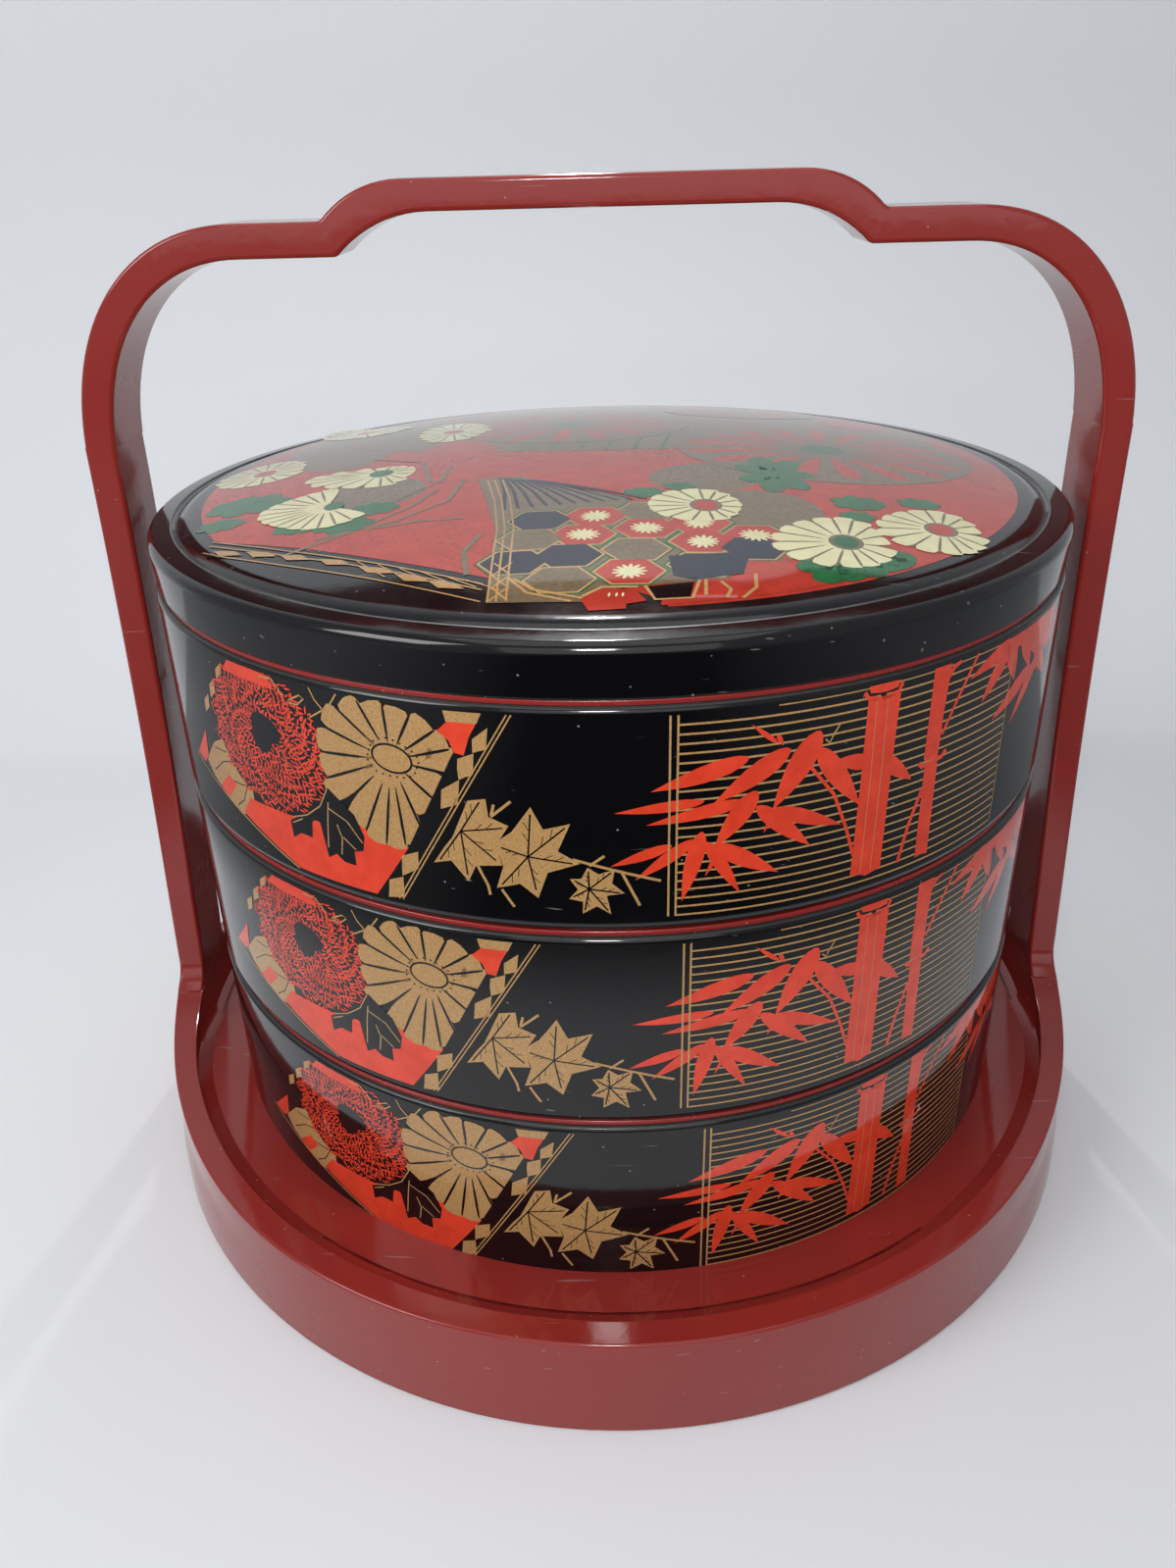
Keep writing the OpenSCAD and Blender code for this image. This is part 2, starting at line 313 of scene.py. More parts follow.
def finish_piece(piece, body, slot, *nodes):
    """Smooth shading that keeps flats flat, then the piece's place in the frame."""
    piece.data.shade_smooth()
    piece.data.set_sharp_from_angle(angle=math.radians(40))
    weigh = piece.modifiers.new("flat faces stay flat", "WEIGHTED_NORMAL")
    weigh.keep_sharp = True
    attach(piece, body)
    if nodes:
        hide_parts(*nodes)
    print(piece.name, len(piece.data.polygons), "faces")
    return piece


print("a full turn has", TURN_STEPS, "steps of", 360 / TURN_STEPS, "degrees")

# %% [markdown]
# A tier is black outside and red inside. Its wall ends in a small shoulder, and above that stands a red lip.
# Under its floor is the ring that drops into the mouth below. All three tiers are the same, and only the
# height at which they stand differs. The shoulder has a paler, duller lacquer: partly dust, and partly a
# painted highlight for the rough glint that its round catches.

# %% Tiers
TIER_R, SHOULDER_R, MOUTH_R, RING_R, RING_IN = 97.5, 96.5, 92.5, 92.1, 88.1
PITCH_Z, BODY_H, RING_H, FLOOR_T = 43, 42, 3.2, 3
TIER_FEET = {"bottom": 19, "middle": 19 + PITCH_Z, "top": 19 + 2 * PITCH_Z}
TIER_BODY = {"bottom": "bottom_box", "middle": "middle_box", "top": "top_box"}


def make_tier(name):
    """Turns one tier and gives each face its lacquer."""
    foot = TIER_FEET[name]
    bm = bmesh.new()
    wire(bm, [(0, foot, 0), (RING_IN, foot, 0), (RING_IN, foot - RING_H, 0.4), (RING_R, foot - RING_H, 0.6),
              (RING_R, foot, 0), (TIER_R, foot, 2.4), (TIER_R, foot + BODY_H, 1),
              (SHOULDER_R, foot + BODY_H, 0.15), (SHOULDER_R, foot + PITCH_Z, 0.35),
              (MOUTH_R, foot + PITCH_Z, 0.5), (MOUTH_R, foot + FLOOR_T, 4), (0, foot + FLOOR_T, 0)])
    turn(bm)
    for face in bm.faces:
        middle = face.calc_center_median() / MM
        r, z = math.hypot(middle.x, middle.y), middle.z - foot
        red = z > BODY_H + 0.1 or (r < MOUTH_R + 0.01 and z > FLOOR_T - 0.1)
        # The shoulder's round is painted pale grey, as dust and as a painted highlight.
        dust_and_highlight = SHOULDER_R + 0.1 < r < TIER_R - 0.3 and z > BODY_H - 0.5
        face.material_index = 2 if dust_and_highlight else int(red)
    piece = new_object(name + "_tier_shell", bm, black_lacquer, inner_lacquer, dust_and_highlight_lacquer)
    return finish_piece(piece, TIER_BODY[name], "black_lacquer", name + "_tier")


for name in TIER_FEET:
    make_tier(name)

# %% [markdown]
# The lid has a short skirt, a flat rim, a crease, a rolled shoulder and a shallow dome. The crease has a
# pale grey lacquer: partly dust, and partly a painted highlight for the bright line that it catches.
# The dome is a slice of a ball of 619 mm radius. A second, lower wire along its underside closes the shell.

# %% Lid
LID_SEAT = TIER_FEET["top"] + PITCH_Z
LID_SKIN, CREASE_IN, CREASE_OUT, CREASE_Z = 3, 91.2, 92.5, 157
DOME_R, DOME_EDGE, DOME_TOP = 88.1, 158.9, 165.2
BALL = (DOME_R ** 2 + (DOME_TOP - DOME_EDGE) ** 2) / (2 * (DOME_TOP - DOME_EDGE))


def dome_z(r, lower=0):
    """Height of the dome's skin above a radius, in millimetres."""
    return DOME_TOP - BALL + math.sqrt((BALL - lower) ** 2 - r * r)


bm = bmesh.new()
under = [(r, dome_z(r, LID_SKIN), 0) for r in (0, 22, 44, 66, RING_IN)]
over = [(r, dome_z(r), 0) for r in (DOME_R, 80, 72, 64, 56, 48, 40, 32, 24, 16, 8, 0)]
wire(bm, under + [(RING_IN, LID_SEAT - RING_H, 0.4), (RING_R, LID_SEAT - RING_H, 0.6), (RING_R, LID_SEAT, 0),
                  (96.9, LID_SEAT, 0.5), (97.7, 157.4, 1.9), (92.4, 158.1, 0.4), (92.4, 157.55, 0.25),
                  (91.6, 157.6, 0.3), (90.6, 158.15, 0.5), (89.4, 158.65, 0.5)] + over)
turn(bm)
for face in bm.faces:
    middle = face.calc_center_median() / MM
    # The crease is painted pale grey, as dust and as a painted highlight.
    dust_and_highlight = CREASE_IN < math.hypot(middle.x, middle.y) < CREASE_OUT and middle.z > CREASE_Z
    face.material_index = int(dust_and_highlight)
finish_piece(new_object("lid_shell", bm, black_lacquer, dust_and_highlight_lacquer), "cover", "black_lacquer", "lid")

# %% [markdown]
# The pattern is printed in flat inks, and each ink lies on the last like paint: a gold powder in lacquer,
# vermilion, and black for the veins. So it is drawn flat first, in millimetres, from a few shapes that a
# brush would make: a patch with corners, a leaf, a stroke and a disc. Each change of ink lies a hair above
# the last shape, and so does each large disc.

# %% Shapes for a flat drawing
GOLD, RED, BLACK, CREAM, GREEN, INDIGO, BROWN = range(7)
FIRST_LEVEL, LEVEL_STEP, DOT_STEPS = 0.03, 0.002, 8


def mix(a, b, share):
    """The value that lies at this share of the way from a to b."""
    return a + (b - a) * share


LAST = {"level": FIRST_LEVEL, "ink": None}


def level_of(ink):
    """Height of the next shape. Shapes of one ink in a row share a level, and a change of ink lies on top."""
    if ink != LAST["ink"]:
        LAST["level"] += LEVEL_STEP
        LAST["ink"] = ink
    return LAST["level"]


def patch(bm, ink, points):
    """A flat patch of ink with these corners."""
    level = level_of(ink)
    verts = [bm.verts.new((x, y, level)) for x, y in points]
    edges = [bm.edges.new(pair) for pair in zip(verts, verts[1:] + verts[:1])]
    for face in bmesh.ops.triangle_fill(bm, edges=edges, use_beauty=True)["geom"]:
        if isinstance(face, bmesh.types.BMFace):
            face.material_index = ink


def leaf(bm, ink, base, tip, width, blunt=1.1, root=0.6, steps=20):
    """A leaf or a petal: a circle whose width follows its length. A small blunt makes the tip round."""
    level = level_of(ink)
    base, along = Vector(base), Vector(tip) - Vector(base)
    across = along.normalized().orthogonal()
    peak = root / (root + blunt)
    most = peak ** root * (1 - peak) ** blunt
    ring = bmesh.ops.create_circle(bm, cap_ends=True, segments=steps, radius=0.5)["verts"]
    ring[0].link_faces[0].material_index = ink
    for vert in ring:
        t = min(max(vert.co.x + 0.5, 0), 1)
        side = math.copysign(width / 2 * t ** root * (1 - t) ** blunt / most, vert.co.y)
        spot = base + along * t + across * side
        vert.co = (spot.x, spot.y, level)


def disc(bm, ink, centre, half, tilt=0, steps=28):
    """An oval disc of ink. A large one always lies on top of the last shape, because discs often overlap."""
    if steps > DOT_STEPS:
        LAST["ink"] = None
    spin = Matrix.Rotation(math.radians(tilt), 4, "Z")
    place = Matrix.Translation((*centre, level_of(ink))) @ spin @ Matrix.Diagonal((*half, 1, 1))
    ring = bmesh.ops.create_circle(bm, cap_ends=True, segments=steps, radius=1, matrix=place)["verts"]
    ring[0].link_faces[0].material_index = ink


def stroke(bm, ink, width, *points):
    """A brush line of even width through these points."""
    points = [Vector(p) for p in points]
    left, right = [], []
    for i, point in enumerate(points):
        along = points[min(i + 1, len(points) - 1)] - points[max(i - 1, 0)]
        across = Vector((-along.y, along.x)).normalized() * width / 2
        left.append(point + across)
        right.append(point - across)
    patch(bm, ink, left + right[::-1])


def flower(bm, ink, centre, tips, width):
    """A chrysanthemum seen from above: wedge-shaped petals, then a dark brush line between each two."""
    centre, line_ink = Vector(centre), BLACK if ink == GOLD else BROWN
    tips = sorted((Vector(tip) for tip in tips), key=lambda tip: math.atan2(*(tip - centre)))
    for tip in tips:
        leaf(bm, ink, centre, tip, width, 0.2, 1)
    for a, b in zip(tips, tips[1:] + tips[:1]):
        if (a - b).length < 2.2 * width:
            reach = ((a - centre).length + (b - centre).length) / 2
            notch = centre + reach * ((a + b) / 2 - centre).normalized()
            leaf(bm, line_ink, centre.lerp(notch, 0.97), centre.lerp(notch, 0.3), 0.55, 0.5, 0.3)


def around(centre, half, count, first=0, last=360):
    """Points round an oval, as petal tips, with a small uneven step as in a drawing made by hand."""
    for i in range(count):
        a = math.radians(first + (last - first) * i / count)
        wobble = 1 + 0.06 * math.sin(5.3 * i + centre[0])
        yield centre[0] + half[0] * wobble * math.cos(a), centre[1] + half[1] * wobble * math.sin(a)


def uneven(middle, reach, count, first=0):
    """Petal tips of a flower that reaches to a different west, east, south and north."""
    west, east, south, north = reach
    for x, y in around(middle, (1, 1), count, first):
        wide = east - middle[0] if x > middle[0] else middle[0] - west
        high = north - middle[1] if y > middle[1] else middle[1] - south
        yield middle[0] + wide * (x - middle[0]), middle[1] + high * (y - middle[1])


print("inks:", BROWN + 1, "and each change of ink rises", LEVEL_STEP, "mm")

# %% [markdown]
# The drawing that runs round each tier starts in the middle with bamboo: a ground of fine gold lines, then
# leaves, then two stems with their nodes. The distance along the wall is x, and y is the height above the
# tier's foot.

# %% Bamboo
GROUND_LINES, GROUND_TOP, GROUND_GAP = 23, 40.5, 1.68
drawing = bmesh.new()
for i in range(GROUND_LINES):
    y = GROUND_TOP - GROUND_GAP * i
    stroke(drawing, GOLD, 0.36 if i else 0.24, (15 if i == 0 else -1.2, y), (30, y + 0.06), (68.7, y))
for tip, base, width in (
        ((-5.6, 27.3), (10.4, 32), 3.2), ((4.6, 24.3), (17.4, 32.6), 3.8), ((-11.5, 23.6), (3.2, 25), 2),
        ((-6.3, 21.2), (10, 24.3), 2.5), ((14.8, 21.8), (22.6, 34.9), 4.6),
        ((31.4, 19.2), (22.4, 31.8), 3.8), ((5, 16), (12, 25.8), 3.7), ((22.2, 13.6), (12, 23), 3.1),
        ((28, 16.4), (15, 21.9), 2.8), ((-12.2, 13.6), (-2, 17.2), 2), ((-8.1, 10.9), (1.7, 18), 2.3),
        ((-0.3, 6.2), (3, 19.4), 3), ((9.8, 6.6), (3.6, 17.4), 2.4), ((16.5, 9.6), (4.8, 16.6), 3.2),
        ((13.4, 17.7), (15.6, 22), 1), ((3.6, 10.7), (5.6, 15), 0.8), ((16.1, 33.3), (15, 35.4), 0.9),
        ((10.5, 37.8), (15, 34), 0.9), ((42.4, 21.2), (35, 27.4), 3), ((25.6, 28.9), (33, 27), 3),
        ((54.6, 36.5), (67.5, 40.4), 2.8), ((59.2, 30.8), (67, 39.6), 3.6), ((63.6, 25.9), (78, 32.4), 3.6),
        ((71.2, 22.6), (82, 34), 3.2), ((70.6, 31.5), (67, 40.6), 4), ((77.4, 32), (72, 40.6), 3.8),
        ((81.5, 29.5), (80, 40), 3.6), ((88.5, 27), (79, 36), 4)):
    leaf(drawing, RED, base, tip, width)
patch(drawing, RED, [(60, 39.4), (64, 40.7), (90, 40.9), (92, 34), (86, 33), (78, 34.5), (74, 38),
                     (66, 38.2)])
stroke(drawing, RED, 0.6, (21, 28.9), (26, 22.6), (29, 15.4), (30.9, 9.6))
patch(drawing, RED, [(31.2, 38.5), (31.1, 22), (30.7, 5.3), (33, 5), (34, 4.5), (37.2, 5.3), (37.4, 22),
                     (37.8, 38.5)])
stroke(drawing, RED, 0.75, (30.4, 40), (31.1, 38.9), (34, 38.3), (37.4, 38.9), (38, 40.3))
patch(drawing, RED, [(31.2, 40.9), (31.5, 39.7), (33.6, 39.4), (35.3, 39.4), (37.2, 39.7), (37.3, 40.9)])
disc(drawing, BLACK, (34.2, 38.95), (0.6, 0.35))
for x in (33, 35.2):
    stroke(drawing, GOLD, 0.12, (x, 38), (x + 0.1, 22), (x - 0.2, 5.5))
patch(drawing, RED, [(45.1, 41), (44.9, 24.2), (45.3, 23.8), (48.4, 23.9), (48.6, 32), (49.2, 41)])
patch(drawing, RED, [(45.3, 22.9), (45.5, 4.5), (47, 4.7), (48.7, 4.4), (48.5, 22.9)])
stroke(drawing, RED, 0.9, (43.8, 23.9), (44.6, 23), (47, 23.3), (49.4, 23.6), (50.4, 24.6))
stroke(drawing, RED, 0.9, (48.6, 38.2), (49.8, 40), (51.8, 40.9))
stroke(drawing, RED, 0.7, (48.8, 28), (51.8, 33.6), (56.4, 41))
stroke(drawing, RED, 0.8, (45.3, 18.6), (42.9, 12), (41.2, 5))
for x in (-2.45, -1.2):
    stroke(drawing, GOLD, 0.36, (x, 40.5), (x - 0.05, 20), (x - 0.1, 3.4))
stroke(drawing, GOLD, 0.3, (68.7, 38), (68.9, 20), (69, 3.6))
stroke(drawing, GOLD, 0.3, (23.6, 33.2), (24.4, 32.4), (24.9, 33.5), (26.1, 35.4))
print("bamboo:", len(drawing.faces), "shapes")

# %% [markdown]
# Left of it are three maple leaves with black veins, and then a poem card that lies aslant. It holds a gold
# chrysanthemum, a vermilion one made of many thin petals, and leaves. A black band with gold lozenges edges
# it.

# %% Maple leaves and card
for centre, outline, veins in (
        ((-37, 19), [(-35.4, 24.9), (-32.3, 25.5), (-32, 22.2), (-28.7, 20.8), (-31, 17), (-30.2, 13.1),
                     (-34.8, 12.6), (-36.3, 9.3), (-39.2, 13), (-42.4, 12.1), (-40.2, 15.5), (-38.6, 17.6)],
         ((-33.4, 24.8), (-29.8, 20.3), (-31.2, 14), (-36.4, 10.6), (-41.2, 12.9))),
        ((-25.7, 15.2), [(-24.9, 24.6), (-23, 20.5), (-18.5, 21.7), (-20.7, 16.5), (-17.1, 14.2),
                         (-22.5, 12.3), (-24.3, 7.2), (-27.3, 9.8), (-31.4, 8.6), (-30, 13), (-31.2, 17.4),
                         (-28.2, 19.8)],
         ((-25, 23.2), (-19.4, 20.9), (-18.4, 14.2), (-24.6, 8.8), (-30.4, 9.4), (-30.2, 16.6))),
        ((-15.7, 9.3), [(-15.9, 13.5), (-14.1, 12.2), (-11.4, 13.1), (-11.9, 10.4), (-9.8, 8.4), (-12.8, 8),
                        (-12.1, 4.3), (-14.5, 5.9), (-16.9, 4.4), (-16.8, 6.8), (-19.1, 7.3), (-17.6, 9.2),
                        (-18.9, 11.2), (-17, 11.3)],
         ((-15.8, 12.7), (-12, 12.5), (-10.6, 8.5), (-12.6, 5), (-16.5, 5.1), (-18.4, 7.7), (-18.1, 10.9)))):
    patch(drawing, GOLD, outline)
    for tip in veins:
        stroke(drawing, BLACK, 0.3, centre, tip)
        for share in (0.35, 0.6):
            knot, along = Vector(centre).lerp(Vector(tip), share), (Vector(tip) - Vector(centre)) * 0.2
            stroke(drawing, BLACK, 0.14, knot, knot + along + along.orthogonal() * 0.7)
for points in (((-18.3, 15), (-3.8, 10.6)), ((-10.4, 12.8), (-7.3, 5.9)), ((-15.6, 13.8), (-13.1, 15.7)),
               ((-31.6, 22.3), (-28.1, 25.4)), ((-34.5, 12.7), (-32.9, 9), (-32.6, 7.1)),
               ((-30.5, 8.4), (-28.5, 5.1)), ((-31.5, 22.6), (-31, 24.6))):
    stroke(drawing, GOLD, 0.5, *points)

patch(drawing, GOLD, [(-91, 24), (-97, 21), (-102.5, 15.4), (-100, 12.7), (-90, 8.4), (-85, 10), (-84, 14),
                      (-84, 22)])
for points in (((-99, 14.4), (-94, 18), (-88, 20)), ((-96, 12.4), (-91, 15), (-86, 15.6)),
               ((-97, 20), (-92, 20.6)), ((-91, 9.8), (-88, 12), (-85.6, 16))):
    stroke(drawing, BLACK, 0.25, *points)
patch(drawing, RED, [(-108, 14.8), (-100.4, 22.4), (-101.4, 16.6), (-104, 14.2)])
patch(drawing, RED, [(-97.4, 11.6), (-92.6, 15.8), (-90, 14.4), (-94, 10.4)])
for x, y in ((-89.2, 37.4), (-93, 33.3), (-96.8, 29.2)):
    patch(drawing, GOLD, [(x - 1.4, y - 2.4), (x + 1, y - 0.6), (x + 1.5, y + 2.3), (x - 1, y + 0.4)])
patch(drawing, RED, [(-85.4, 13.4), (-88.6, 9.3), (-86, 8.2), (-72.5, 3.1), (-54.5, 3.1), (-46.8, 14.2),
                     (-56, 16.4), (-72, 14)])
stroke(drawing, GOLD, 0.35, (-109, 14.6), (-88, 8.2), (-73, 2.9))
disc(drawing, BLACK, (-78, 27.6), (15.4, 13.4))
for i in range(17):
    r = 0.24 + 0.049 * i
    for tip in around((-78, 27.8), (15.4 * (r + 0.02), 13.2 * (r + 0.02)), 20 + 5 * i, 17 * i, 360 + 17 * i):
        middle = Vector((-78, 27.8))
        start = middle + (Vector(tip) - middle) * (1 - 0.075 / (r + 0.02))
        bend = (Vector(tip) - start).orthogonal() * 0.6 * math.sin(3.7 * tip[0] + 9 * tip[1])
        leaf(drawing, RED, start - bend, Vector(tip) + bend, 0.4, 0.7, 0.5, 8)
disc(drawing, BLACK, (-76.6, 30.2), (4, 2.6), -14)
patch(drawing, RED, [(-85.2, 40.9), (-74.6, 40.9), (-72.4, 38.4), (-87.4, 38.6)])
flower(drawing, GOLD, (-48.6, 30.6),
       [(-62.8, 21.5), (-63.4, 26.6), (-63.6, 31.8), (-61.4, 37.2), (-56.6, 40.3), (-51.6, 40.7),
        (-46.6, 40.3), (-41.6, 38.7), (-38.2, 35.6), (-36.8, 32.4), (-39.4, 26.4), (-42.6, 21.8),
        (-45.6, 14.8), (-49.3, 13.4), (-57.4, 16.8), (-53.4, 13.9)], 4.6)
disc(drawing, BLACK, (-48.4, 30.8), (3.9, 2.7), -8)
disc(drawing, GOLD, (-48.4, 30.8), (3.5, 2.3), -8)
for x, y in around((-48.4, 30.8), (4.7, 3.5), 22):
    disc(drawing, BLACK, (x, y), (0.2, 0.2), 0, 8)
patch(drawing, BLACK, [(-62.6, 22.4), (-57.4, 18.3), (-55.8, 14.4), (-56.4, 11.4), (-58.4, 10.8),
                       (-58.4, 7.9), (-61, 8), (-62.6, 9.2), (-64.6, 7.9), (-65.3, 12.4), (-65.6, 14.6),
                       (-66.6, 15.2), (-67.6, 14.2), (-68.1, 10.9), (-70.9, 11), (-73.2, 9.4), (-73.4, 12.9),
                       (-70, 15), (-66, 17.6)])
for points in (((-63, 19.4), (-63.7, 15.4), (-64.4, 10)), ((-63, 18.2), (-59.2, 16.6), (-56.4, 13)),
               ((-61.6, 15.4), (-60.8, 12.8), (-61.4, 9.4)), ((-60.6, 13.2), (-58, 11.2)),
               ((-72.8, 12.6), (-70, 14.2)), ((-62.9, 22), (-65, 18.2), (-68.6, 15.4), (-72.4, 13.9))):
    stroke(drawing, GOLD, 0.24, *points)
for points in (((-69, 37.4), (-66.2, 38.9), (-65.3, 38.4), (-67, 37), (-69.2, 36.9)),
               ((-63.8, 40.8), (-62.8, 38.8), (-60.8, 36.8)), ((-58, 40.7), (-60, 38), (-64.5, 35.2)),
               ((-76, 40.2), (-72.6, 40.4), (-70.4, 38))):
    stroke(drawing, GOLD, 0.3, *points)
patch(drawing, BLACK, [(-37.4, 33), (-47, 14.1), (-54.4, 3), (-49.2, 3), (-27.6, 41), (-34, 41),
                       (-34.4, 37)])
patch(drawing, GOLD, [(-38.4, 40.7), (-32, 40.7), (-32.9, 38.8), (-38, 38.8)])
patch(drawing, RED, [(-39.7, 37), (-37.8, 38.8), (-33, 38.8), (-34.3, 36.4), (-35.4, 33.1), (-37, 33.4),
                     (-37.8, 35.5)])
for points in ([(-33.8, 36.1), (-31.1, 38.3), (-31.6, 34.5), (-33.9, 33.7)],
               [(-36.7, 30.6), (-36.5, 32.4), (-33.7, 33.6), (-34.1, 29.8), (-36.6, 28.6)],
               [(-39.8, 26.4), (-36.5, 28.6), (-37.1, 24), (-40.2, 22.8)],
               [(-48.5, 12.3), (-45.2, 13.7), (-45.5, 10.3), (-48.8, 8.2)],
               [(-51.6, 6.8), (-48.7, 8), (-48.8, 3.8), (-52.1, 3.1)]):
    patch(drawing, GOLD, points)
for shift in (0, -0.75):
    stroke(drawing, GOLD, 0.26, (-27.2 + shift, 40.7), (-39.4 + shift, 20), (-49.2 + shift, 3.3))
print("tier drawing:", len(drawing.faces), "shapes, highest at", round(LAST["level"], 3), "mm")

# %% [markdown]
# The lid's drawing is seen from above, so here x and y are the lid's own. A vermilion ground carries brown
# clouds, green leaves and cream chrysanthemums, and in the middle a folding fan opens over a tortoise-shell
# field.

# %% Lid drawing
lid_drawing = bmesh.new()
LAST["level"] = FIRST_LEVEL


def speckle(bm, ink, corner, far, count, size):
    """Fine dots, spread like pips with a golden-ratio step."""
    for i in range(count):
        x = mix(corner[0], far[0], (0.618034 * i + 0.3) % 1)
        disc(bm, ink, (x, mix(corner[1], far[1], (i + 0.5) / count)), (size, size), 0, 6)


def hexagon(bm, ink, centre, size):
    """One cell of a tortoise shell."""
    patch(bm, ink, [(centre[0] + size * math.cos(math.radians(60 * k)),
                     centre[1] + size * 0.92 * math.sin(math.radians(60 * k))) for k in range(6)])


rim = [(86.4 * math.cos(math.radians(a)), 86.4 * math.sin(math.radians(a))) for a in range(-84, 211, 3)]
patch(lid_drawing, RED, rim + [(-72, -45.5), (-58, -52.4), (-40, -62.6), (-20, -73.8), (2, -79), (7.6, -83)])
for centre, half, tilt in (((-47, -24), (10.6, 10.6), 0), ((27.6, -44.6), (12.6, 12.6), 0),
                           ((20, -23), (12, 10), 20), ((-62, 22), (13, 24), 12), ((50, 34), (30, 22), -30),
                           ((0, 40), (26, 30), 0), ((0, 40), (66, 40), 0)):
    disc(lid_drawing, BROWN, centre, half, tilt)
for centre, half, tilt in (((-32, 0), (9, 20), 10), ((-8, -26), (12, 7), -20), ((-30, 40), (8, 16), 20),
                           ((62, 44), (8, 9), 30)):
    disc(lid_drawing, RED, centre, half, tilt)
for i in range(6):
    x = -16 + 6 * i
    stroke(lid_drawing, GREEN, 0.8, (x, 46 - i), (x - 2.5, 32), (x + 1, 18), (x - 2, 4 - 0.8 * i))
for centre, half, count in (((48, 4), (29, 26), 17), ((-8, 36), (26, 24), 15), ((36, 62), (18, 14), 13)):
    disc(lid_drawing, BROWN, centre, (half[0] * 1.12, half[1] * 1.12))
    for tip in around(centre, half, count):
        leaf(lid_drawing, RED, Vector(centre).lerp(Vector(tip), 0.3), tip, 0.15 * half[0], 0.3, 0.9)
    disc(lid_drawing, GREEN, centre, (0.17 * half[0], 0.17 * half[1]))
for tip in around((34, -20), (8, 14), 7):
    leaf(lid_drawing, GREEN, (34, -20), tip, 6, 0.5)
for points in (((-44, -36), (-40, -28), (-34, -20), (-33, -8)),
               ((-58, -56), (-48, -48), (-38, -36), (-34, -26)),
               ((-54, -50), (-40, -44), (-31, -34), (-29, -20)), ((-45, -47), (-35, -45), (-27, -45)),
               ((-24, -72), (-25.4, -62), (-23, -54)), ((-52, 6), (-40, -2), (-36, -20))):
    stroke(lid_drawing, BROWN, 1, *points)
speckle(lid_drawing, BROWN, (-66, -58), (-24, -46), 90, 0.24)
speckle(lid_drawing, BROWN, (-30, -70), (-21, -58), 30, 0.24)
for middle, size in (((-59, -42), 5), ((-50, -43), 6), ((-45, -35), 5), ((-74, -22), 9), ((-76, -34), 5),
                     ((48, -38), 5.5), ((60, -36), 4.4), ((46, -46), 3.6), ((7, -34), 4.4),
                     ((14, -30), 3.4)):
    for tip in around(middle, (size, size * 0.8), 7):
        leaf(lid_drawing, GREEN, middle, tip, size * 0.62, 0.4)
for middle, reach in (((-48, -9), (-64, -41, -20, -3)), ((-77, 6), (-87.5, -67.5, -6, 18)),
                      ((-37, 34), (-46, -28, 20, 50)), ((-62, 52), (-74, -50, 42, 62))):
    flower(lid_drawing, CREAM, middle, uneven(middle, reach, 16), 4.2)
    disc(lid_drawing, GREEN if middle[0] == -48 else RED, middle, (2.6, 3))

patch(lid_drawing, BROWN, [(-26.4, -20), (-23.4, -36), (-20.6, -52), (-20, -83), (-4, -84), (-2, -80),
                           (14, -77), (24, -73), (31, -68), (30, -60), (22, -52), (8, -44), (2, -36),
                           (-10, -28), (-18, -20)])
for i in range(11):
    low = Vector((-19.6 + 2.7 * i, -42 + 0.42 * i))
    high = Vector((-21.6 + 0.9 * i, -20.6 - 0.4 * i))
    stroke(lid_drawing, INDIGO, 0.75, high, high.lerp(low, 0.5) + Vector((0.5, 0)), low)
patch(lid_drawing, RED, [(24, -66.6), (30.4, -66), (31, -75.4), (38, -76), (30, -80), (20, -83), (8, -85.6),
                         (7.8, -84.4), (13, -83), (14.8, -76.4), (22, -74.6)])
speckle(lid_drawing, BROWN, (24.6, -74), (30, -67.6), 34, 0.16)
cells = ((INDIGO, -12.6, -48.6), (RED, -2.3, -47.4), (BROWN, 7.4, -45), (BROWN, -14, -58),
         (RED, -4.6, -56.6), (RED, 6.8, -54), (RED, 16.4, -51.4), (INDIGO, -7, -65.8), (BROWN, 4.6, -63.8),
         (RED, 16.4, -60.6), (RED, 26, -57.4), (INDIGO, -16.4, -68), (INDIGO, 25, -63.4),
         (BROWN, -8.4, -75.6), (INDIGO, 15.6, -70.6), (RED, 3.2, -73))
for border, kind in ((6.8, GREEN), (6.3, GOLD)):
    for _, x, y in cells:
        hexagon(lid_drawing, kind, (x, y), border)
for kind, x, y in sorted(cells):
    hexagon(lid_drawing, kind, (x, y), 5.8)
for kind, x, y in cells:
    if kind == RED:
        for tip in around((x, y), (3, 2.9), 13):
            leaf(lid_drawing, CREAM, (x, y), tip, 0.75, 0.5)
patch(lid_drawing, INDIGO, [(10, -67), (21, -65.4), (24, -66), (22, -74), (14, -76.6), (10.4, -75)])
patch(lid_drawing, RED, [(-5, -83), (-1.4, -79.4), (3.8, -79.8), (5.6, -84), (2.4, -85), (2.2, -86.6),
                         (-3.6, -87)])
for x in (-0.4, 0.8, 1.8):
    leaf(lid_drawing, CREAM, (x, -82.4), (x + 0.2, -81), 0.4, 0.5)
patch(lid_drawing, BLACK, [(5.8, -79), (13.6, -77.4), (12.6, -82.6), (7.2, -83.4)])
for points in (((5.6, -78.6), (7, -83.6), (13, -83), (14.6, -76.6)),
               ((-17, -74), (-13.6, -80), (-6.4, -83.6)), ((-16, -74.6), (-12.6, -79), (-4.6, -82.6)),
               ((-4.6, -82), (-1.4, -78.8), (4.4, -79)), ((15.6, -76.4), (15.2, -82)),
               ((18, -77), (19.4, -80), (18.4, -83)), ((24, -74), (23.6, -79), (21, -83))):
    stroke(lid_drawing, GOLD, 0.6, *points)
for x in (-20.2, -18.8, -17.2):
    stroke(lid_drawing, GOLD, 0.36, (x - 4, -22), (x - 1.6, -36), (x, -52), (x + 0.4, -82.6))
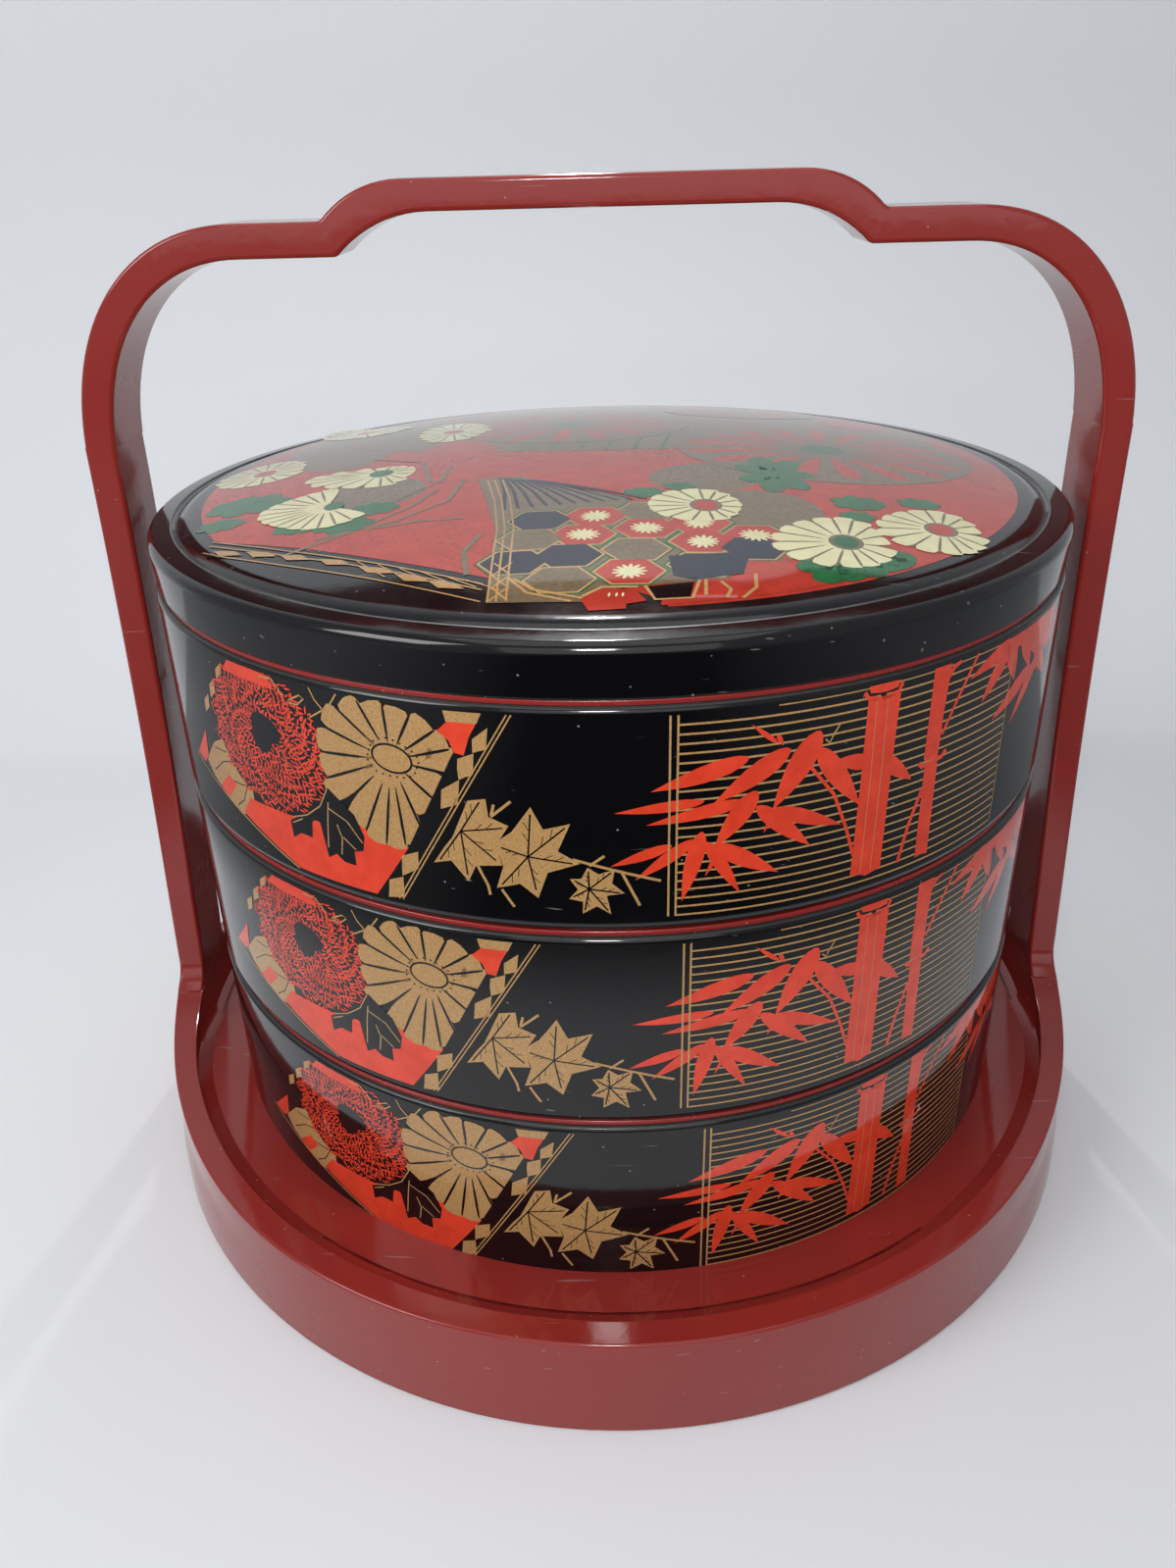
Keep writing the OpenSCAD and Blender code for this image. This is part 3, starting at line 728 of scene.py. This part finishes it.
for y in (-79.4, -75, -70):
    stroke(lid_drawing, GOLD, 0.4, (-19.6, y - 3), (-16.6, y + 2))
    stroke(lid_drawing, GOLD, 0.4, (-19.6, y + 2), (-16.6, y - 3))

for x, y in ((-70, -50.6), (-63, -53.4), (-56, -57), (-48, -61.2), (-40, -66.4), (-33, -71), (-27, -74.6)):
    patch(lid_drawing, GOLD, [(x - 3.4, y + 1.3), (x + 1, y - 0.2), (x + 3.2, y - 2.9), (x - 1.4, y - 1.8)])
for y in (0, -2.2, -6.4):
    stroke(lid_drawing, GOLD, 0.4, (-75, -44 + y), (-58, -54.4 + y), (-40, -64.6 + y), (-21, -76 + y))
for i in range(6):
    x = -44 + 4 * i
    stroke(lid_drawing, GOLD, 0.3, (x, -62.8 - 0.56 * (x + 44)), (x + 6, -70.6 - 0.4 * (x + 44)))

for middle, reach, centre_ink in (((41.6, -59.4), (28.4, 49.8, -71, -47.2), GREEN),
                                  ((60.6, -50.4), (48.6, 68.4, -62.8, -40), RED),
                                  ((18.4, -42), (6.8, 25.4, -50.4, -32.4), RED)):
    if middle[0] == 41.6:
        for tip in ((31.5, -72), (34, -76.6), (38, -75.6), (43, -74), (47, -71.6), (51, -69), (52.4, -66.4)):
            leaf(lid_drawing, GREEN, (45, -64), tip, 6.4, 0.4)
    flower(lid_drawing, CREAM, middle, uneven(middle, reach, 15, 8), 3.9)
    disc(lid_drawing, BROWN, middle, (3.1, 3.6))
    disc(lid_drawing, centre_ink, middle, (2.2, 2.8))
flower(lid_drawing, CREAM, (-55.4, -31), around((-56, -31), (12.6, 12.6), 15, 96, 330), 3.9)
disc(lid_drawing, GREEN, (-54, -31), (2, 2.8))
print("lid drawing:", len(lid_drawing.faces), "shapes, highest at", round(LAST["level"], 3), "mm")

# %% [markdown]
# The inks are matt pigments under the same clear coat as the wall beside them, so the gloss runs on over the
# print. The gold is a fine powder, which shows as grains about 0.3 mm across, some bright and some missing.

# %% Inks


def printed_ink(name, base, deep, grain, shine=0, bare=0):
    """Flat ink under a clear coat. Its grains drift between two tones, and some of them are missing."""
    material, tree = new_material(name)
    place = add(tree, "TexCoord").outputs["Object"]
    grains = add(tree, "TexNoise", {"Scale": 1 / (grain * MM), "Detail": 2, "Roughness": 0.7}, Vector=place)
    ramp = add(tree, "MapRange", {"From Min": 0.36, "From Max": 0.64}, Value=grains.outputs["Fac"])
    tone = add(tree, "Mix", {"data_type": "RGBA", 6: colour(base), 7: colour(deep)}, _0=ramp.outputs[0])
    missing = add(tree, "MapRange", {"From Min": 0.68, "From Max": 0.72, "To Max": bare},
                  Value=grains.outputs["Fac"])
    dark = add(tree, "Mix", {"data_type": "RGBA", 7: colour("#1A1512")}, _0=missing.outputs[0],
               _6=tone.outputs[2])
    surface = add(tree, "BsdfPrincipled", {"IOR": 1.5, "Metallic": shine, "Roughness": 0.5, "Coat Weight": 1,
                                           "Coat Roughness": 0.06, "Specular IOR Level": 0},
                                           Base_Color=dark.outputs[2])
    add(tree, "OutputMaterial", Surface=surface.outputs[0])
    return material


inks = [printed_ink(*recipe) for recipe in (
    ("gold powder in lacquer", "#B18C5D", "#977345", 0.3, 0.05, 0.6),
    ("vermilion ink", "#D24028", "#C43822", 5), ("black ink", "#0B0B0D", "#060607", 30),
    ("cream ink", "#DAD6AA", "#CFCB9C", 6), ("green ink", "#1E6A3E", "#175732", 4),
    ("indigo ink", "#1E2636", "#18202E", 8), ("brown ink", "#776851", "#6A5B45", 1.2))]
# The lid takes a darker copy of the vermilion ink, as painted shade on the lid's top.
lid_inks = inks[:1] + [printed_ink("vermilion ink with painted shade", "#B43A2C", "#A43226", 5)] + inks[2:]
print("ink materials:", [m.name for m in inks])

# %% [markdown]
# Now the drawings go onto the surfaces. A shape is first cut into narrow strips, so that it can follow the
# curve, and then each point is moved to the wall or the dome. The surface's own direction is kept as the
# shading direction, which makes the gloss run on without a seam.

# %% Printing
WALL_STRIP, DOME_STRIP, PRINT_TOP = 1.25, 1.6, 41
TIER_TURN = {"bottom": 10.9, "middle": 8.2, "top": 6.6}


def cut_strips(bm, axis, step):
    """Turns every shape's face up, and cuts a flat drawing into strips across X or Y."""
    bm.normal_update()
    bmesh.ops.reverse_faces(bm, faces=[f for f in bm.faces if f.normal.z < 0])
    low = min(v.co[axis] for v in bm.verts)
    high = max(v.co[axis] for v in bm.verts)
    normal = Vector((0, 0, 0))
    normal[axis] = 1
    for i in range(int((high - low) / step) + 1):
        bmesh.ops.bisect_plane(bm, geom=bm.verts[:] + bm.edges[:] + bm.faces[:], plane_no=normal,
                               plane_co=normal * (low + step * (i + 0.5)))


def on_wall(foot, middle):
    """Gives the function that rolls a flat point onto a tier's wall."""
    def place(point):
        a = math.radians(middle) + point.x / TIER_R
        out = Vector((math.sin(a), -math.cos(a), 0))
        return out * (TIER_R + point.z) + Vector((0, 0, foot + min(point.y, PRINT_TOP))), out
    return place


def on_dome(point):
    """Moves a flat point up onto the lid's dome."""
    r = math.hypot(point.x, point.y)
    spot = Vector((point.x, point.y, dome_z(min(r, DOME_R))))
    out = (spot - Vector((0, 0, DOME_TOP - BALL))).normalized()
    return spot + out * point.z, out


def print_on(flat, name, body, wanted, place, materials):
    """Makes a piece of the shapes whose ink is wanted, laid on a surface."""
    bm = flat.copy()
    bmesh.ops.delete(bm, geom=[f for f in bm.faces if f.material_index not in wanted], context="FACES")
    normals = []
    for vert in bm.verts:
        spot, out = place(vert.co)
        vert.co = spot * MM
        normals.append(out)
    piece = new_object(name, bm, *materials)
    piece.data.shade_smooth()
    piece.data.normals_split_custom_set_from_vertices(normals)
    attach(piece, body)
    print(name, len(piece.data.polygons), "faces")
    return piece


cut_strips(drawing, 0, WALL_STRIP)
cut_strips(lid_drawing, 0, DOME_STRIP)
cut_strips(lid_drawing, 1, DOME_STRIP)
COLOURS = (RED, BLACK, CREAM, GREEN, INDIGO, BROWN)
for name, middle in TIER_TURN.items():
    place = on_wall(TIER_FEET[name], middle)
    print_on(drawing, name + "_gold_print", TIER_BODY[name], (GOLD,), place, inks)
    print_on(drawing, name + "_colour_print", TIER_BODY[name], COLOURS, place, inks)
print_on(lid_drawing, "lid_gold_print", "cover", (GOLD,), on_dome, lid_inks)
print_on(lid_drawing, "lid_colour_print", "cover", COLOURS, on_dome, lid_inks)
drawing.free()
lid_drawing.free()

# %% [markdown]
# The tray is turned as well, but at its two sides the rim rises into ears that carry the posts. On the real
# tray the ear grows out of the rim without an edge, so it isn't a block set on top: the tray is turned
# first, in a quarter with its columns close together near the ear, and then the rim's own vertices are
# lifted. A fault is known here: lift() also moves the outer corner of the underside, near 12 mm high, onto
# the slope. So the underside is a cone that passes through the floor and the seat, and covers the lowest 3.4
# mm of the bottom tier.

# %% Tray
TRAY_R, RIM_IN, RIM_Z, SEAT_R, SEAT_Z = 116.7, 111.1, 25.4, 98.3, 19
POST_T, POST_HALF, POST_TOP, POST_FOOT = 6.6, 9, 170, 31
POST_OUT, POST_MID = 115.7, 112.4
ROUND, RIM_ROUND = 0.9, 0.6
EAR_REACH, EAR_H = 39, 16.6


def ease(share):
    """0 below 0, 1 above 1, and a soft slope in between."""
    share = min(max(share, 0), 1)
    return share * share * (3 - 2 * share)


def sweep_half(z):
    """Half the width of the sweep from rim to post, at a height."""
    t = min((z - RIM_Z) / EAR_H, 1)
    return POST_HALF + EAR_REACH * (1 - t) ** 5


def rim_lift(y):
    """How far the sweep lifts the rim at a distance from the middle of the ear."""
    t = 1 - (max(abs(y) - POST_HALF, 0) / EAR_REACH) ** 0.2
    h = EAR_H * min(t, 0.5)
    return (h + math.sqrt(h * h + 0.5)) / 2


def slope_z(r):
    """Height of the sloped inner wall."""
    return SEAT_Z + (r - SEAT_R) / (RIM_IN - 0.2 - SEAT_R) * (RIM_Z - 0.4 - SEAT_Z)


def lift(vert):
    """Moves one vertex of the turned tray to where the ear needs it."""
    r, z, angle = math.hypot(vert.co.x, vert.co.y) / MM, vert.co.z / MM, math.atan2(vert.co.y, vert.co.x)
    if z < 3 or r < SEAT_R + 0.1:
        return
    pinch = 1.4 * (1 - ease((abs(math.degrees(angle)) - 25) / 30)) * ease((z - 3) / 15)
    h = rim_lift(POST_MID * math.sin(angle))
    share = ease(h / (POST_FOOT - RIM_Z) * 0.92)
    inner, outer = mix(RIM_IN, POST_OUT - POST_T, share), mix(TRAY_R, POST_OUT, share)
    if r > TRAY_R - RIM_ROUND - 0.01 and z > RIM_Z - RIM_ROUND - 0.01:
        k = mix(1, ROUND / RIM_ROUND, share)
        r, z = outer - (TRAY_R - r) * k, RIM_Z + h - (RIM_Z - z) * k
    elif r > TRAY_R - 0.01:
        z += h * ease((z - 8) / (RIM_Z - RIM_ROUND - 8))
        r -= (TRAY_R - outer) * ease((z - 21) / (RIM_Z + h - 21))
    elif z > RIM_Z - 0.01 or r > RIM_IN - 0.01:
        across = (r - RIM_IN) / (TRAY_R - RIM_ROUND - RIM_IN)
        r = mix(inner, outer - mix(RIM_ROUND, ROUND, share), across)
        z += h
    elif r > RIM_IN - 0.3:
        up = min(max((z - (RIM_Z - 0.4)) / 0.3, 0), 1)
        base = inner - 1.8 * share
        r = mix(base, inner, 1 - (1 - up) ** 3)
        z = mix(slope_z(base), RIM_Z + h - 0.1, up)
    else:
        r = mix(SEAT_R, inner - 0.2 - 1.8 * share, (r - SEAT_R) / (RIM_IN - 0.2 - SEAT_R))
        z = slope_z(r)
    r -= pinch * (1 - share) * (r - SEAT_R) / (TRAY_R - SEAT_R)
    vert.co = Vector((r * math.cos(angle), r * math.sin(angle), z)) * MM


bm = bmesh.new()
skirt = [(TRAY_R, z, 0) for z in (8, 12, 15, 17, 19, 21, 23)]
slope = [(r, slope_z(r), 0) for r in (110.3, 109, 107.5, 105.5, 103, 100.5)]
wall = [(RIM_IN - 0.2 * k / 4, RIM_Z - 0.1 - 0.3 * k / 4, 0) for k in range(1, 5)]
wire(bm, [(0, 12.2, 0), (108.7, 12.2, 1), (108.7, 0, 0.6), (TRAY_R, 0, 0.8)] + skirt
     + [(TRAY_R, RIM_Z, RIM_ROUND), (113.5, RIM_Z, 0), (RIM_IN, RIM_Z, 0.4)] + wall + slope
     + [(SEAT_R, SEAT_Z, 0), (MOUTH_R, SEAT_Z, 0.5), (MOUTH_R, 15.4, 0.5), (0, 15.4, 0)])
geom = bm.verts[:] + bm.edges[:]
for degrees, steps in ((30, 60), (60, 36)):
    turned = bmesh.ops.spin(bm, geom=geom, cent=(0, 0, 0), axis=(0, 0, 1), dvec=(0, 0, 0),
                            angle=math.radians(degrees), steps=steps)
    geom = turned["geom_last"]
for vert in bm.verts:
    lift(vert)
for axis in "XY":
    bmesh.ops.mirror(bm, geom=bm.verts[:] + bm.edges[:] + bm.faces[:], axis=axis, merge_dist=0.01 * MM)
bmesh.ops.bisect_plane(bm, geom=bm.verts[:] + bm.edges[:] + bm.faces[:], plane_co=(0, 0, POST_FOOT * MM),
                       plane_no=(0, 0, 1), clear_outer=True)
close(bm)
bmesh.ops.holes_fill(bm, edges=[e for e in bm.edges if e.is_boundary])
print("open edges in the tray:", sum(e.is_boundary for e in bm.edges))
finish_piece(new_object("tray_shell", bm, red_lacquer), "carrier", "red_lacquer", "carrier_tray")

# %% [markdown]
# A post is a flat strap. Its foot is curved like the rim, and as wide as the ear, and it soon turns flat and
# narrow. It starts as its own cross-section, with rounded corners, which is drawn up in steps, and then each
# step is moved to the post's line.

# %% Posts
POST_TOP_OUT, POST_SPLAY, POST_BOW = 110.5, 5.2, 4


def post_out(z):
    """How far out the post's outer face stands at a height."""
    u = (POST_TOP - z) / (POST_TOP - POST_FOOT)
    return POST_TOP_OUT + POST_SPLAY * u - POST_BOW * u * (1 - u)


def bend_post(vert):
    """Moves a vertex of a straight post to its place. Its foot follows the ear, and its top is flat."""
    x, y, z = vert.co / MM
    half = sweep_half(z)
    if abs(y) > POST_HALF - ROUND:
        corner = (POST_HALF - abs(y)) * mix(2.2 / ROUND, 1, ease((z - POST_FOOT) / 10))
        y = math.copysign(half - corner, y)
    else:
        y *= (half - mix(2.2, ROUND, ease((z - POST_FOOT) / 10))) / (POST_HALF - ROUND)
    r = post_out(z) - POST_T / 2 + x
    angle = math.asin(y / POST_MID)
    bent = 1 - ease((z - POST_FOOT) / 30)
    vert.co = Vector((mix(r, r * math.cos(angle), bent), mix(y, r * math.sin(angle), bent), z)) * MM


def make_post(name, side):
    """Draws up one post, on the left where side is negative."""
    bm = bmesh.new()
    bmesh.ops.create_grid(bm, x_segments=1, y_segments=16, size=0.5)
    bmesh.ops.transform(bm, matrix=Matrix.Diagonal((POST_T * MM, 2 * POST_HALF * MM, 1, 1)), verts=bm.verts)
    bmesh.ops.translate(bm, vec=(0, 0, POST_FOOT * MM), verts=bm.verts)
    ends = [v for v in bm.verts if len(v.link_edges) == 2]
    bmesh.ops.bevel(bm, geom=ends, offset=ROUND * MM, offset_type="OFFSET", segments=4, profile=0.5,
                    affect="VERTICES", material=-1)
    faces = bm.faces[:]
    fine = [0.5] * 24 + [2] * 15
    steps = fine + [(POST_TOP - POST_FOOT - sum(fine)) / 16] * 16
    for step in steps:
        drawn = bmesh.ops.extrude_face_region(bm, geom=faces)["geom"]
        faces = [f for f in drawn if isinstance(f, bmesh.types.BMFace)]
        moved = [v for v in drawn if isinstance(v, bmesh.types.BMVert)]
        bmesh.ops.translate(bm, vec=(0, 0, step * MM), verts=moved)
    for vert in bm.verts:
        bend_post(vert)
    if side < 0:
        bmesh.ops.transform(bm, matrix=Matrix.Diagonal((-1, 1, 1, 1)), verts=bm.verts)
    close(bm)
    piece = new_object(name + "_strap", bm, red_lacquer)
    return finish_piece(piece, "carrier", "red_lacquer", name)


make_post("left_post", -1)
make_post("right_post", 1)

# %% [markdown]
# The bail is a strap too, but its upper and lower edges aren't parallel at the grip's ends. So both edges
# are drawn as wires, bridged into a face, and the face is given the strap's width. A bevel then rounds the
# long edges.

# %% Bail
GRIP_TOP, GRIP_BOTTOM, SHOULDER_TOP, SHOULDER_BOTTOM = 219.3, 213.4, 212.2, 205.7
GRIP_HALF, CORNER_X, CORNER_Z, CORNER_RUN = 39, 72, 165, 38.5
GRIP_STEPS = 10


def corner_points(run, drop, squareness=2.2, steps=30):
    """A rounded corner from the shoulder down to the leg, which ends at the joint with the post."""
    foot = math.asin(((POST_TOP - CORNER_Z) / drop) ** (squareness / 2))
    for i in range(steps + 1):
        a = mix(math.pi / 2, foot, i / steps)
        x = CORNER_X + run * math.cos(a) ** (2 / squareness)
        yield x, CORNER_Z + drop * math.sin(a) ** (2 / squareness)


def step_points(x, top, radius, drop):
    """A grip's end, from its flat down to the shoulder."""
    end = math.asin((radius - drop) / radius)
    for i in range(GRIP_STEPS + 1):
        a = mix(math.pi / 2, end, i / GRIP_STEPS)
        yield x + radius * math.cos(a), top - radius + radius * math.sin(a)


bm = bmesh.new()
edges, notches = [], []
for points in (
        list(step_points(GRIP_HALF, GRIP_TOP, 22, GRIP_TOP - SHOULDER_TOP))
        + list(corner_points(CORNER_RUN, SHOULDER_TOP - CORNER_Z)),
        list(step_points(GRIP_HALF - 5, GRIP_BOTTOM, 26, GRIP_BOTTOM - SHOULDER_BOTTOM))
        + list(corner_points(CORNER_RUN - POST_T, SHOULDER_BOTTOM - CORNER_Z))):
    verts = [bm.verts.new(Vector((x, -POST_HALF, z)) * MM) for x, z in [(0, points[0][1])] + points]
    edges += [bm.edges.new(pair) for pair in zip(verts, verts[1:])]
    notches.append(verts[GRIP_STEPS + 1])
bmesh.ops.bevel(bm, geom=notches, offset=0.7 * MM, offset_type="OFFSET", segments=3, profile=0.5,
                affect="VERTICES", material=-1)
bmesh.ops.bridge_loops(bm, edges=bm.edges[:])
bmesh.ops.mirror(bm, geom=bm.verts[:] + bm.edges[:] + bm.faces[:], axis="X", merge_dist=0.01 * MM)
drawn = bmesh.ops.extrude_face_region(bm, geom=bm.faces[:])["geom"]
back = [v for v in drawn if isinstance(v, bmesh.types.BMVert)]
bmesh.ops.translate(bm, vec=(0, 2 * POST_HALF * MM, 0), verts=back)
close(bm)
foot_z = (POST_TOP + 0.1) * MM
long_edges = [e for e in bm.edges if abs(e.verts[0].co.y - e.verts[1].co.y) < MM and len(e.link_faces) == 2
              and e.calc_face_angle() > 1 and max(v.co.z for v in e.verts) > foot_z]
bmesh.ops.bevel(bm, geom=long_edges, offset=ROUND * MM, offset_type="OFFSET", segments=4, profile=0.5,
                affect="EDGES", clamp_overlap=False, material=-1)
close(bm)
finish_piece(new_object("bail_strap", bm, red_lacquer), "carrier", "red_lacquer", "handle_bail")

# %% [markdown]
# Last, the dressed part's box is written down, in millimetres.

# %% Finish
low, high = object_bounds()
print("dressed box in mm:", [round(v / MM, 1) for v in (*low, *high)])
